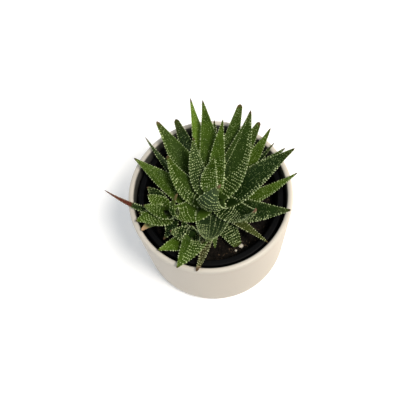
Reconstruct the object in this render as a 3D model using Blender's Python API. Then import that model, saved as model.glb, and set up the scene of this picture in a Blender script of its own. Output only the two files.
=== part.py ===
"""Potted haworthia: a zebra-striped rosette with two offsets, in a black
nursery pot that stands inside a matte ceramic cover pot.

Metres, +Z up, the origin at the centre of the cover pot's foot on the table.
"""
import math

import bmesh
import bpy
from mathutils import Vector

MM = 0.001

# ---- cover pot (mm) -------------------------------------------------------
POT_RADIUS = 60.0
POT_HEIGHT = 96.0
POT_WALL = 4.2
POT_FLOOR = 6.0
POT_FOOT_ROUND = 9.0
POT_RIM_ROUND = 1.9

# ---- nursery pot (mm) -----------------------------------------------------
LINER_BASE = 6.3
LINER_TOP = 91.0
LINER_FOOT_RADIUS = 38.0
LINER_NECK_RADIUS = 49.6
LINER_LIP_RADIUS = 53.5
LINER_WALL = 1.2
DRAIN_HOLES = 4
DRAIN_RADIUS = 4.0
DRAIN_CIRCLE = 22.0

# ---- soil and gaps (mm) ---------------------------------------------------
SOIL_LEVEL = 76.0
GAP = 0.3

# ---- plants: centre x, y and top of the stem, lower and upper stem radius --
STEMS = {
    "main": (2.0, -2.0, 101.0, 5.0, 2.6),
    "left": (-35.0, -8.0, 93.0, 3.6, 2.0),
    "front": (-17.0, -31.0, 92.0, 3.4, 2.0),
}

# Leaves: name, plant, base azimuth (degrees), base height, tip point,
# width, thickness, bow (negative: hollow side up, tip curving in), tip width.
LEAVES = [
    # lowest ring of the main rosette
    ("low_back", "main", 112, 80, (-19, 54, 112), 12.0, 4.0, -4, 0.30),
    ("low_back_dry", "main", 131, 79, (-31, 43, 99), 5.0, 2.0, -3, 0.05),
    ("low_back_left", "main", 146, 79, (-42, 44, 106), 6.5, 2.6, -3, 0.05),
    ("low_left", "main", 172, 81, (-51, 29, 108), 12.5, 4.0, -4, 0.06),
    ("low_right_upper", "main", 46, 80, (49, 41, 106), 10, 4.0, -1, 0.06),
    ("low_right_dark", "main", 14, 79, (51, 31, 101), 5, 2.6, -2, 0.05),
    ("low_right", "main", -16, 79.7, (62, 4, 104), 12.0, 4.0, -3, 0.06),
    ("low_right_front", "main", -42, 84, (53, -23, 104), 14.0, 4.4, -2, 0.06),
    ("low_front_right", "main", -60, 82.5, (35, -43, 100), 6.0, 2.8, 0, 0.05),
    ("low_front_short", "main", -83, 79, (16, -37, 86), 8.0, 3.0, 1, 0.05),
    ("low_front_pale", "main", -106, 79, (-1, -39, 88), 6.0, 2.8, 1, 0.05),
    ("low_front", "main", -130, 80, (-15, -57, 100), 8.5, 3.2, 1, 0.06),
    # second ring
    ("second_back", "main", 100, 88, (-5, 60, 125), 12.0, 4.0, -4, 0.05),
    ("second_back_left", "main", 128, 85, (-32, 50, 118), 13.0, 4.2, -4, 0.28),
    ("second_back_right", "main", 68, 90, (29, 56, 120), 13.5, 4.2, -4, 0.26),
    ("second_back_dark", "main", 83, 82, (9, 49, 114), 7.5, 3.0, -3, 0.05),
    ("second_right_back", "main", 48, 86.5, (42, 46, 108), 12.5, 4.0, -2, 0.30),
    ("second_right_low", "main", 14, 84, (58, 25, 104), 12.0, 4.0, 0, 0.05),
    ("second_right", "main", -3, 88.5, (63, 19, 114), 16.0, 5.0, -1, 0.05),
    ("second_left", "main", 165, 90, (-27, 23, 116), 13.5, 4.2, -4, 0.06),
    # third ring
    ("third_back", "main", 92, 93, (2, 55, 132), 12.5, 4.2, -4, 0.05),
    ("third_right", "main", 42, 94.5, (35, 44, 126), 15.5, 5.0, -5, 0.04),
    ("third_front_right", "main", -40, 90, (29, -24, 118), 14.0, 4.6, -5, 0.05),
    ("third_front_left", "main", 205, 89, (-21, -8, 118), 14.0, 4.6, -5, 0.05),
    ("third_front", "main", -100, 88, (-5, -39, 108), 14.0, 4.6, -3, 0.06),
    # heart of the rosette
    ("heart_back", "main", 72, 98.5, (14, 36, 134), 13.0, 4.4, -4, 0.04),
    ("heart_back_left", "main", 140, 95, (-7, 29, 128), 11.0, 3.8, -4, 0.06),
    ("heart_middle", "main", 120, 98, (4, 10, 122), 10.0, 3.4, -2, 0.06),
    ("heart_front", "main", -60, 97, (8, -6, 120), 12.0, 4.0, -3, 0.05),
    # left offset
    ("left_long", "left", 163, 86, (-73, 5, 108), 9.0, 3.2, 4, 0.06),
    ("left_back", "left", 120, 88.5, (-44, 5, 107), 9.0, 3.0, -2, 0.06),
    ("left_upper", "left", 80, 91, (-42, -2, 110), 8.0, 3.0, -3, 0.05),
    ("left_middle", "left", 190, 92, (-46, -8, 107), 6, 2.8, -2, 0.06),
    ("left_pale", "left", 186, 80, (-51, -11, 99), 4.5, 2.2, 0, 0.05),
    ("left_outer", "left", 214, 87, (-54, -17, 100), 8.0, 3.0, 2, 0.06),
    ("left_tan", "left", 238, 80.5, (-51, -24, 100), 6.0, 2.4, 3, 0.06),
    ("left_front", "left", 276, 86, (-37, -30, 92), 8.5, 3.0, 2, 0.05),
    ("left_right", "left", 10, 86, (-24, -14, 104), 7.0, 2.8, -2, 0.05),
    # front offset
    ("front_banded", "front", 148, 90, (-30, -29, 106), 10.0, 3.6, -2, 0.05),
    ("front_left", "front", 202, 86, (-39, -40, 100), 9.5, 3.4, 2, 0.05),
    ("front_large", "front", 252, 87, (-27, -54, 102), 12.0, 4.0, 3, 0.05),
    ("front_back", "front", 108, 84, (-22, -20, 99), 6.0, 2.6, -1, 0.05),
    ("front_heart", "front", 80, 84, (-16, -26, 103), 6.0, 2.6, -1, 0.05),
]

# White grains lying on the soil: x, y, radius.
GRAINS = [
    (19.5, -36.5, 1.5),
    (13.5, -41.0, 0.9),
    (38.0, -18.0, 1.1),
]

COLOURS = {
    "ceramic": ((0.66, 0.60, 0.54, 1.0), 0.55),
    "black_plastic": ((0.03, 0.03, 0.032, 1.0), 0.45),
    "soil": ((0.035, 0.024, 0.018, 1.0), 0.95),
    "perlite": ((0.85, 0.84, 0.80, 1.0), 0.90),
    "stem_skin": ((0.10, 0.15, 0.05, 1.0), 0.60),
    "leaf_skin": ((0.09, 0.20, 0.05, 1.0), 0.45),
    "dry_leaf": ((0.36, 0.22, 0.12, 1.0), 0.80),
}
DRY_LEAVES = ("low_back_dry", "left_tan")


def clear_scene():
    for obj in list(bpy.data.objects):
        bpy.data.objects.remove(obj, do_unlink=True)


def make_materials():
    made = {}
    for name, (colour, roughness) in COLOURS.items():
        material = bpy.data.materials.new(name)
        material.use_nodes = True
        shader = material.node_tree.nodes["Principled BSDF"]
        shader.inputs["Base Color"].default_value = colour
        shader.inputs["Roughness"].default_value = roughness
        material.diffuse_color = colour
        made[name] = material
    return made


def finish(name, mesh_work, material, smooth=True):
    """Turn the working mesh into a named object with one material."""
    bmesh.ops.recalc_face_normals(mesh_work, faces=mesh_work.faces)
    mesh = bpy.data.meshes.new(name)
    mesh_work.to_mesh(mesh)
    mesh_work.free()
    mesh.materials.append(material)
    for face in mesh.polygons:
        face.use_smooth = smooth
    obj = bpy.data.objects.new(name, mesh)
    bpy.context.scene.collection.objects.link(obj)
    return obj


def lathe(name, profile, material, sides):
    """Turn a closed profile of (radius, height) in mm about the Z axis."""
    work = bmesh.new()
    rings = []
    for radius, height in profile:
        if radius < 1e-6:
            rings.append([work.verts.new((0, 0, height * MM))])
            continue
        ring = []
        for k in range(sides):
            angle = 2 * math.pi * k / sides
            point = (radius * math.cos(angle), radius * math.sin(angle), height)
            ring.append(work.verts.new(Vector(point) * MM))
        rings.append(ring)
    for a, b in zip(rings, rings[1:]):
        for k in range(sides):
            n = (k + 1) % sides
            if len(a) == 1:
                work.faces.new((a[0], b[k], b[n]))
            elif len(b) == 1:
                work.faces.new((a[k], a[n], b[0]))
            else:
                work.faces.new((a[k], a[n], b[n], b[k]))
    return finish(name, work, material)


def arc(cx, cz, radius, start, end, steps):
    """Points on a quarter round, angles in degrees."""
    points = []
    for k in range(steps + 1):
        angle = math.radians(start + (end - start) * k / steps)
        points.append((cx + radius * math.cos(angle), cz + radius * math.sin(angle)))
    return points


def cover_pot(materials):
    inner = POT_RADIUS - POT_WALL
    foot = POT_FOOT_ROUND
    rim = POT_RIM_ROUND
    profile = [(0, 0), (POT_RADIUS - foot - 6, 0)]
    profile += arc(POT_RADIUS - foot, foot, foot, -90, 0, 6)
    profile += arc(POT_RADIUS - rim, POT_HEIGHT - rim, rim, 0, 90, 4)
    profile += arc(inner + rim, POT_HEIGHT - rim, rim, 90, 180, 4)
    profile += arc(inner - 5, POT_FLOOR + 5, 5, 0, -90, 4)
    profile += [(0, POT_FLOOR)]
    return lathe("cover_pot", profile, materials["ceramic"], 72)


def liner_inner_radius(height):
    """Inner radius of the nursery pot's tapering wall."""
    share = (height - LINER_BASE) / (LINER_TOP - LINER_BASE)
    outer = LINER_FOOT_RADIUS + (LINER_NECK_RADIUS - LINER_FOOT_RADIUS) * share
    return outer - LINER_WALL


def nursery_pot(materials):
    floor = LINER_BASE + LINER_WALL
    lip = LINER_LIP_RADIUS
    neck = LINER_NECK_RADIUS
    profile = [(0, LINER_BASE), (LINER_FOOT_RADIUS - 1, LINER_BASE)]
    profile += [(LINER_FOOT_RADIUS, LINER_BASE + 1)]
    profile += [(neck - 0.6, LINER_TOP - 4.5), (lip, LINER_TOP - 4.5)]
    profile += [(lip, LINER_TOP - 0.8), (lip - 0.8, LINER_TOP)]
    profile += [(neck - 0.6, LINER_TOP), (neck - LINER_WALL, LINER_TOP - 0.8)]
    profile += [(liner_inner_radius(LINER_TOP - 5.5), LINER_TOP - 5.5)]
    profile += [(liner_inner_radius(floor), floor), (0, floor)]
    pot = lathe("nursery_pot", profile, materials["black_plastic"], 60)
    cutter = drain_cutter(materials["black_plastic"])
    cut = pot.modifiers.new("drain holes", "BOOLEAN")
    cut.operation = "DIFFERENCE"
    cut.solver = "EXACT"
    cut.object = cutter
    return pot


def drain_cutter(material):
    """Round pins that open the drain holes in the nursery pot's floor."""
    work = bmesh.new()
    for k in range(DRAIN_HOLES):
        angle = 2 * math.pi * (k + 0.5) / DRAIN_HOLES
        made = bmesh.ops.create_cone(
            work, cap_ends=True, segments=16, radius1=DRAIN_RADIUS * MM,
            radius2=DRAIN_RADIUS * MM, depth=4 * MM)
        middle = Vector((DRAIN_CIRCLE * math.cos(angle),
                         DRAIN_CIRCLE * math.sin(angle),
                         LINER_BASE + LINER_WALL / 2)) * MM
        bmesh.ops.translate(work, verts=made["verts"], vec=middle)
    cutter = finish("drain_cutter", work, material, smooth=False)
    cutter.hide_render = True
    cutter.display_type = "WIRE"
    return cutter


def soil_height(x, y):
    """Uneven surface of the potting soil, in mm."""
    dome = 1.6 * max(0.0, 1 - (x * x + y * y) / 2200.0)
    ripple = 0.5 * math.sin(x * 0.31 + 1.0) * math.cos(y * 0.27)
    return SOIL_LEVEL + dome + ripple


def soil(materials):
    """Soil body: fills the nursery pot with a small gap to its wall."""
    sides = 56
    floor = LINER_BASE + LINER_WALL + GAP
    work = bmesh.new()
    top_radius = liner_inner_radius(SOIL_LEVEL - 1) - GAP - 0.1
    foot_radius = liner_inner_radius(floor) - GAP - 0.1
    rings = []
    for radius, height in ((foot_radius, floor), (top_radius, None),
                           (38.0, None), (28.0, None), (18.0, None), (8.0, None)):
        ring = []
        for k in range(sides):
            angle = 2 * math.pi * k / sides
            x = radius * math.cos(angle)
            y = radius * math.sin(angle)
            z = soil_height(x, y) if height is None else height
            ring.append(work.verts.new(Vector((x, y, z)) * MM))
        rings.append(ring)
    for a, b in zip(rings, rings[1:]):
        for k in range(sides):
            n = (k + 1) % sides
            work.faces.new((a[k], a[n], b[n], b[k]))
    work.faces.new(list(reversed(rings[0])))
    top = work.verts.new(Vector((0, 0, soil_height(0, 0))) * MM)
    for k in range(sides):
        work.faces.new((rings[-1][k], rings[-1][(k + 1) % sides], top))
    return finish("soil", work, materials["soil"])


def grain(index, x, y, radius, material):
    work = bmesh.new()
    bmesh.ops.create_icosphere(work, subdivisions=2, radius=radius * MM)
    bmesh.ops.scale(work, vec=(1.0, 0.86, 0.72), verts=work.verts)
    height = soil_height(x, y) + radius * 0.72 + GAP
    bmesh.ops.translate(work, vec=Vector((x, y, height)) * MM, verts=work.verts)
    return finish("perlite_grain_%d" % index, work, material)


def stem(plant, material):
    """Short tapering stem that the leaf bases are set round."""
    x, y, top, low_radius, high_radius = STEMS[plant]
    sides = 20
    bottom = soil_height(x, y) + GAP + 0.4
    work = bmesh.new()
    rings = []
    steps = 6
    for level in range(steps + 1):
        share = level / steps
        radius = low_radius + (high_radius - low_radius) * share
        height = bottom + (top - bottom) * share
        if level == steps:
            radius *= 0.55
        ring = []
        for k in range(sides):
            angle = 2 * math.pi * k / sides
            px = x + radius * math.cos(angle)
            py = y + radius * math.sin(angle)
            ring.append(work.verts.new(Vector((px, py, height)) * MM))
        rings.append(ring)
    for a, b in zip(rings, rings[1:]):
        for k in range(sides):
            n = (k + 1) % sides
            work.faces.new((a[k], a[n], b[n], b[k]))
    work.faces.new(list(reversed(rings[0])))
    work.faces.new(rings[-1])
    return finish("stem_" + plant, work, material)


def stem_radius(plant, height):
    x, y, top, low_radius, high_radius = STEMS[plant]
    bottom = soil_height(x, y) + GAP + 0.4
    share = min(1.0, max(0.0, (height - bottom) / (top - bottom)))
    return low_radius + (high_radius - low_radius) * share


# Half of a leaf's cross-section: sideways share of the width, and height as
# a share of the thickness. The upper side is a shallow channel, the lower
# side is rounded with a keel.
SECTION = [
    (-0.50, 0.16), (-0.25, 0.03), (0.0, -0.04), (0.25, 0.03),
    (0.50, 0.16), (0.30, -0.52), (0.0, -0.84), (-0.30, -0.52),
]


def leaf_width(share, tip_width):
    """Width along the leaf: narrow foot, widest at a third, long taper."""
    if share < 0.40:
        foot = share / 0.40
        return 0.18 + 0.82 * foot * foot * (3 - 2 * foot)
    reach = (share - 0.40) / 0.60
    return tip_width + (1 - tip_width) * (1 - reach ** 1.5)


def leaf(name, plant, azimuth, foot_height, tip, width, thickness, bow,
         tip_width, material):
    x, y = STEMS[plant][:2]
    away = stem_radius(plant, foot_height) + GAP + 0.25
    angle = math.radians(azimuth)
    foot = Vector((x + away * math.cos(angle), y + away * math.sin(angle),
                   foot_height))
    chord = Vector(tip) - foot
    # a nearly upright leaf keeps the side it has at its foot
    outward = Vector((math.cos(angle), math.sin(angle), 0)) * chord.length * 0.15
    lean = Vector((chord.x, chord.y, 0)) + outward
    side = lean.cross(Vector((0, 0, 1))).normalized()
    hollow = side.cross(chord).normalized()
    # leave the stem squarely before turning towards the tip
    lead = Vector((math.cos(angle), math.sin(angle), 0.45)) * chord.length * 0.16
    straight = chord * 0.16
    steps = 11
    work = bmesh.new()
    rings = []
    for k in range(steps + 1):
        share = k / steps
        point = leaf_point(share, foot, chord, hollow, bow, lead - straight)
        ahead = leaf_point(share + 0.02, foot, chord, hollow, bow, lead - straight)
        along = (ahead - point).normalized()
        across = (side - along * side.dot(along)).normalized()
        raised = across.cross(along).normalized()
        wide = width * leaf_width(share, tip_width)
        thick = thickness * min(1.0, 0.55 + 1.8 * share)
        thick *= max(tip_width + 0.1, 1 - 0.85 * share ** 2.2)
        ring = []
        for sideways, lift in SECTION:
            spot = point + across * sideways * wide + raised * lift * thick
            ring.append(work.verts.new(spot * MM))
        rings.append(ring)
    count = len(SECTION)
    for a, b in zip(rings, rings[1:]):
        for k in range(count):
            n = (k + 1) % count
            work.faces.new((a[k], a[n], b[n], b[k]))
    work.faces.new(list(reversed(rings[0])))
    work.faces.new(rings[-1])
    return finish("leaf_" + name, work, material)


def leaf_point(share, foot, chord, hollow, bow, turn):
    early = share * (1 - share) ** 3 * 4
    bulge = 4 * share * (1 - share) * bow
    return foot + chord * share + hollow * bulge + turn * early


def build():
    clear_scene()
    materials = make_materials()
    cover_pot(materials)
    nursery_pot(materials)
    soil(materials)
    for index, (x, y, radius) in enumerate(GRAINS, start=1):
        grain(index, x, y, radius, materials["perlite"])
    for plant in STEMS:
        stem(plant, materials["stem_skin"])
    for row in LEAVES:
        skin = "dry_leaf" if row[0] in DRY_LEAVES else "leaf_skin"
        leaf(*row, materials[skin])


build()
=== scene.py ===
"""Looks of the potted haworthia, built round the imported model."""

import itertools
import math
import random

import bmesh
import bpy
import numpy as np
from mathutils import Matrix, Vector, noise


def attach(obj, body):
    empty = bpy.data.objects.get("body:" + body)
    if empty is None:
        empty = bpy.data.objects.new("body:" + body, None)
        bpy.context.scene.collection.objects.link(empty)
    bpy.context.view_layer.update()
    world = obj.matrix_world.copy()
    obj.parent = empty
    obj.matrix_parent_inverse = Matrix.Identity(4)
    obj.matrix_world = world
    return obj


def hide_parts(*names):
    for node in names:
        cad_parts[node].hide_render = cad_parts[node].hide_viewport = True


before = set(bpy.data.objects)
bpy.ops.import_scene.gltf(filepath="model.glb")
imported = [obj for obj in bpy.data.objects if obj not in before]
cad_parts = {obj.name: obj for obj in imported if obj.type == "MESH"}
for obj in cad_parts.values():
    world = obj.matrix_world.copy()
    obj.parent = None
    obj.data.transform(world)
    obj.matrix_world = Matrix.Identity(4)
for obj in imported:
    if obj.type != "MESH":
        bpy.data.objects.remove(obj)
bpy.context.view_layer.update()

MM = 0.001

# ---- sizes of the pots and the soil, in mm ----
POT_RADIUS = 60.0
POT_HEIGHT = 96.0
POT_WALL = 4.2
POT_FLOOR = 6.0
POT_FOOT_ROUND = 9.0
POT_RIM_ROUND = 1.9
LINER_BASE = 6.3
LINER_TOP = 91.0
LINER_FOOT_RADIUS = 38.0
LINER_NECK_RADIUS = 49.6
LINER_LIP_RADIUS = 53.5
LINER_WALL = 1.2
DRAIN_RADIUS = 4.0
DRAIN_CIRCLE = 22.0
SOIL_LEVEL = 76.0

# Plants: centre x, y, top of the stem, radius of the stem low down and at the top.
STEMS = {
    "main": (2.0, -2.0, 101.0, 5.0, 2.6),
    "left": (-35.0, -8.0, 93.0, 3.6, 2.0),
    "front": (-17.0, -31.0, 92.0, 3.4, 2.0),
}


# ---- node boards ----

def math_node(operation, swapped=False):
    """A Python operator that adds a Math node; swapped when the lead is on its right."""
    def apply(lead, other):
        pair = {0: other, 1: lead} if swapped else {0: lead, 1: other}
        return lead.board.add("Math", {"operation": operation}, pair)[0]
    return apply


class Lead:
    """The output of a node. Sums and products on it add Math nodes."""

    def __init__(self, board, socket):
        self.board = board
        self.socket = socket

    __add__ = __radd__ = math_node("ADD")
    __sub__ = math_node("SUBTRACT")
    __rsub__ = math_node("SUBTRACT", swapped=True)
    __mul__ = __rmul__ = math_node("MULTIPLY")
    __pow__ = math_node("POWER")


SHARED_KINDS = ("Math", "Mix", "MapRange", "SeparateXYZ", "CombineXYZ", "VectorMath",
                "TexNoise")


class Board:
    """A node tree, with one method that adds any node."""

    def __init__(self, tree, family="Shader"):
        self.tree = tree
        self.family = family

    def add(self, kind, settings=None, inputs=None):
        """Add a node by its kind; settings first, then values or leads."""
        full = kind
        if kind in SHARED_KINDS:
            full = "ShaderNode" + kind
        elif not kind.startswith(("FunctionNode", "NodeGroup")):
            full = self.family + "Node" + kind
        node = self.tree.nodes.new(full)
        for key, value in (settings or {}).items():
            setattr(node, key, value)
        for key, value in (inputs or {}).items():
            socket = node.inputs[key]
            if isinstance(value, Lead):
                self.tree.links.new(value.socket, socket)
            elif socket.type == "RGBA":
                socket.default_value = (*value, 1.0)
            else:
                socket.default_value = value
        leads = {}
        for index, output in enumerate(node.outputs):
            leads[index] = Lead(self, output)
            leads.setdefault(output.name, leads[index])
        return leads

    def blend(self, factor, first, second):
        """Mix two colours."""
        return self.add("Mix", {"data_type": "RGBA"},
                        {0: factor, 6: first, 7: second})[2]

    def curve(self, value, low, high):
        """Ease a number from 0 at low to 1 at high."""
        settings = {"interpolation_type": "SMOOTHSTEP"}
        return self.add("MapRange", settings, {0: value, 1: low, 2: high})[0]

    def grain(self, place, scale, detail=3.0, roughness=0.55):
        """Noise as a number round 0.5."""
        inputs = {"Vector": place, "Scale": scale, "Detail": detail,
                  "Roughness": roughness}
        return self.add("TexNoise", None, inputs)["Fac"]

    def attribute(self, name):
        return self.add("Attribute", {"attribute_name": name})["Fac"]

    def stretched(self, place, scale):
        return self.add("Mapping", None, {"Vector": place, "Scale": scale})[0]


def new_material(name, build, gloss):
    """Make a Principled material; build returns what varies over the surface."""
    material = bpy.data.materials.new(name)
    material.use_nodes = True
    tree = material.node_tree
    surface = tree.nodes["Principled BSDF"]
    surface.inputs["Specular IOR Level"].default_value = gloss
    board = Board(tree)
    place = board.add("TexCoord")["Object"]
    for key, lead in build(board, place).items():
        tree.links.new(lead.socket, surface.inputs[key])
    return material


def bump(board, height, strength, distance):
    inputs = {"Height": height, "Strength": strength, "Distance": distance}
    return board.add("Bump", None, inputs)["Normal"]


# ---- finishes ----

def matte_ceramic(board, place):
    """Warm off-white glaze: faint clouding, tiny pits and a softly uneven skin, with a
    painted highlight along the top of the rim and painted shade down the inner wall.
    """
    cloud = board.grain(place, 28.0, 4.0)
    speck = board.curve(board.grain(place, 1500.0, 1.0), 0.70, 0.78)
    warm = board.blend(cloud, (0.43, 0.370, 0.295), (0.50, 0.440, 0.360))
    colour = board.blend(speck * 0.35, warm, (0.50, 0.42, 0.34))
    spot = board.add("SeparateXYZ", None, {0: place})
    radius = (spot["X"] * spot["X"] + spot["Y"] * spot["Y"]) ** 0.5
    # painted highlight: the glaze is lighter towards the top of the rim, which faces the
    # light
    lip = board.curve(spot["Z"], 0.0925, 0.0956)
    colour = board.blend(lip * 0.6, colour, (0.60, 0.57, 0.51))
    # painted shade: the inner wall below the rim is darkened where shade falls inside the
    # pot
    painted_inner_shade = board.curve(radius, 0.0570, 0.0560) * board.curve(spot["Z"], 0.0960, 0.0946)
    colour = board.blend(painted_inner_shade * 0.90, colour, (0.045, 0.050, 0.045))
    skin = cloud * 0.8 + board.grain(place, 420.0, 2.0) * 0.12
    return {
        "Base Color": colour,
        "Roughness": 0.34 + cloud * 0.16 + speck * 0.2,
        "Normal": bump(board, skin, 0.25, 0.0006),
    }


def black_plastic(board, place):
    """Satin moulded plastic with scuffs and a film of dust and soil."""
    height = board.add("SeparateXYZ", None, {0: place})["Z"]
    dust = board.curve(board.grain(place, 110.0, 5.0, 0.7), 0.54, 0.74)
    low = board.curve(height, 0.088, 0.076)
    soiled = dust * (0.35 + low * 0.55)
    colour = board.blend(soiled, (0.0022, 0.0024, 0.0027), (0.013, 0.010, 0.007))
    scuff = board.grain(board.stretched(place, (60.0, 60.0, 900.0)), 1.0, 2.0)
    return {
        "Base Color": colour,
        "Roughness": 0.42 + soiled * 0.40 + scuff * 0.12,
        "Normal": bump(board, scuff + dust * 0.5, 0.18, 0.0003),
    }


def potting_soil(board, place):
    """Dark peat with lighter crumbs and shreds."""
    clod = board.grain(place, 240.0, 5.0, 0.7)
    shred = board.curve(board.grain(place, 700.0, 3.0, 0.6), 0.58, 0.74)
    dark = board.blend(clod, (0.0024, 0.0018, 0.0012), (0.012, 0.009, 0.006))
    colour = board.blend(shred * 0.55, dark, (0.060, 0.042, 0.026))
    height = clod + board.grain(place, 1300.0, 2.0) * 0.4
    return {
        "Base Color": colour,
        "Roughness": 0.80 + clod * 0.18,
        "Normal": bump(board, height, 0.8, 0.0012),
    }


def crumb_finish(dark, light):
    """A finish for soil crumbs, between two colours."""
    def build(board, place):
        clod = board.grain(place, 160.0, 3.0, 0.7)
        fine = board.grain(place, 1600.0, 2.0)
        return {
            "Base Color": board.blend(board.curve(clod, 0.3, 0.7), dark, light),
            "Roughness": 0.78 + fine * 0.2,
            "Normal": bump(board, fine, 0.6, 0.0005),
        }
    return build


def perlite_foam(board, place):
    """White foamed glass, dusted with soil in its pores."""
    pores = board.add("TexVoronoi", None, {"Vector": place, "Scale": 2600.0})["Distance"]
    dirt = board.curve(board.grain(place, 700.0, 3.0), 0.55, 0.75)
    colour = board.blend(dirt * 0.6, (0.72, 0.66, 0.54), (0.36, 0.27, 0.18))
    return {
        "Base Color": colour,
        "Roughness": 0.85 + dirt * 0.1,
        "Normal": bump(board, pores, 0.7, 0.0004),
    }


def leaf_green(board, place):
    """Succulent skin: smoother and lighter on the hollow face, darker outside.

    The attributes say where a point is: along the leaf, on the hollow face,
    near the edge, how far the tip has dried; and how light, tan, grey or
    ruddy the whole leaf is. How light a leaf is stands partly for its own
    paleness and partly for painted shade on leaves that sit in shadow; the
    skin also gets painted shade towards the foot and a painted highlight
    along the edges.
    """
    along = board.attribute("along")
    # light: partly the leaf's own paleness, partly painted shade on leaves in shadow
    light = board.attribute("light") ** 1.9
    dried = board.attribute("dried")
    cloud = board.grain(place, 150.0, 3.0)
    fleck = board.grain(place, 1000.0, 3.0)
    outer = board.blend(light, (0.004, 0.015, 0.003), (0.036, 0.080, 0.006))
    inner = board.blend(light, (0.005, 0.016, 0.002), (0.125, 0.220, 0.014))
    skin = board.blend(board.attribute("hollow"), outer, inner)
    deep = board.blend(light, (0.003, 0.011, 0.002), (0.035, 0.080, 0.005))
    pale = board.blend(light, (0.013, 0.036, 0.006), (0.165, 0.280, 0.022))
    # the feet: a paler base on pale leaves, and painted shade near the heart on dark
    # leaves
    foot = board.blend(light, (0.004, 0.012, 0.002), (0.130, 0.230, 0.020))
    for amount, coat in (
            (board.curve(cloud, 0.50, 0.30) * 0.55, deep),
            (board.curve(cloud, 0.52, 0.75) * 0.40, pale),
            (board.curve(fleck, 0.52, 0.68) * 0.35, pale),
            (board.attribute("grey") * 0.6, (0.085, 0.125, 0.060)),
            (board.attribute("tan"), (0.095, 0.080, 0.030)),
            # painted shade: darker towards the foot, deep in the rosette
            (board.curve(along, 0.80, 0.25) * 0.45, deep),
            (board.curve(along, 0.34, 0.05) * 0.6, foot),
            (board.curve(along, 0.78, 1.0) * 0.3, (0.10, 0.11, 0.020)),
            # painted highlight: lighter along the leaf's edges, as light falls on a
            # hollow leaf
            (board.attribute("rim") * 0.25, (0.26, 0.36, 0.10))):
        skin = board.blend(amount, skin, coat)
    ruddy = board.attribute("ruddy")
    husk = board.blend(board.curve(ruddy, 0.0, 0.5), (0.050, 0.034, 0.016),
                       (0.20, 0.115, 0.068))
    husk = board.blend(board.curve(ruddy, 0.5, 1.0), husk, (0.080, 0.015, 0.009))
    husk = board.blend(board.curve(fleck, 0.4, 0.7) * 0.5, husk, (0.09, 0.045, 0.025))
    skin = board.blend(dried, skin, husk)
    return {
        "Base Color": skin,
        "Roughness": 0.42 + fleck * 0.14 + dried * 0.3,
        "Normal": bump(board, cloud * 0.6 + fleck * 0.3 + dried * fleck, 0.30, 0.0005),
    }


def mark_finish(roughness, uneven, dull, fresh, husk):
    """A finish for warts or teeth: pearly, dull ones near the leaf's green, which carries
    its painted shade.
    """
    def build(board, place):
        # light: partly the leaf's own paleness, partly painted shade on leaves in shadow
        light = board.attribute("light")
        tone = board.curve(board.grain(place, 380.0, 2.0), 0.30, 0.70)
        green = board.blend(light, dull, (0.22, 0.34, 0.05))
        colour = board.blend(board.attribute("bright") * (0.65 + tone * 0.35),
                             green, fresh)
        colour = board.blend(board.attribute("tan") * 0.7, colour, (0.46, 0.33, 0.22))
        return {
            "Base Color": board.blend(board.attribute("dried") * 0.8, colour, husk),
            "Roughness": roughness + board.grain(place, 500.0, 2.0) * uneven,
        }
    return build


def dry_husk(board, place):
    """A dead leaf: papery, brown, wrinkled lengthwise."""
    along = board.attribute("along")
    fold = board.grain(board.stretched(place, (500.0, 500.0, 90.0)), 1.0, 4.0)
    fleck = board.grain(place, 900.0, 3.0)
    brown = board.blend(fold, (0.050, 0.022, 0.010), (0.17, 0.085, 0.035))
    straw = board.blend(fold, (0.030, 0.055, 0.010), (0.110, 0.150, 0.035))
    straw = board.blend(board.curve(along, 0.74, 0.95), straw, (0.40, 0.25, 0.13))
    brown = board.blend(board.attribute("light"), brown, straw)
    return {
        "Base Color": brown,
        "Roughness": 0.72 + fleck * 0.2,
        "Normal": bump(board, fold + fleck * 0.3, 0.8, 0.0008),
    }


def stem_green(board, place):
    """Short stem, greenish brown, scarred."""
    scar = board.grain(board.stretched(place, (200.0, 200.0, 700.0)), 1.0, 3.0)
    return {
        "Base Color": board.blend(scar, (0.04, 0.06, 0.02), (0.12, 0.15, 0.05)),
        "Roughness": 0.6 + scar * 0.2,
        "Normal": bump(board, scar, 0.5, 0.0006),
    }


# Name, what varies over it, and how glossy it is (its specular level).
FINISHES = {name: new_material(name, build, gloss) for name, build, gloss in (
    ("ceramic", matte_ceramic, 0.5),
    ("black_plastic", black_plastic, 0.06),
    ("soil", potting_soil, 0.15),
    ("dark_crumb", crumb_finish((0.0016, 0.0013, 0.001), (0.008, 0.006, 0.004)), 0.15),
    ("bark_crumb", crumb_finish((0.012, 0.009, 0.006), (0.085, 0.056, 0.034)), 0.15),
    ("perlite", perlite_foam, 0.5),
    ("leaf_skin", leaf_green, 0.08),
    ("white_wart", mark_finish(0.50, 0.2, (0.045, 0.085, 0.012),
                               (0.60, 0.69, 0.34), (0.30, 0.20, 0.12)), 0.5),
    ("edge_tooth", mark_finish(0.42, 0.15, (0.10, 0.17, 0.03),
                               (0.66, 0.74, 0.42), (0.28, 0.17, 0.10)), 0.5),
    ("dry_leaf", dry_husk, 0.5),
    ("stem_skin", stem_green, 0.5),
)}


# ---- shaping helpers ----

def placed(name, data):
    """Put a mesh, a lamp or a camera in the scene as an object."""
    obj = bpy.data.objects.new(name, data)
    bpy.context.scene.collection.objects.link(obj)
    return obj


def mesh_from(work, name):
    """Turn edited geometry into a mesh and let the work go."""
    mesh = bpy.data.meshes.new(name)
    work.to_mesh(mesh)
    work.free()
    return mesh


def put_mesh(name, mesh, finish):
    """Place a mesh as an object with its finish, smooth shaded."""
    mesh.materials.append(FINISHES[finish])
    mesh.polygons.foreach_set("use_smooth", [True] * len(mesh.polygons))
    return placed(name, mesh)


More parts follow.
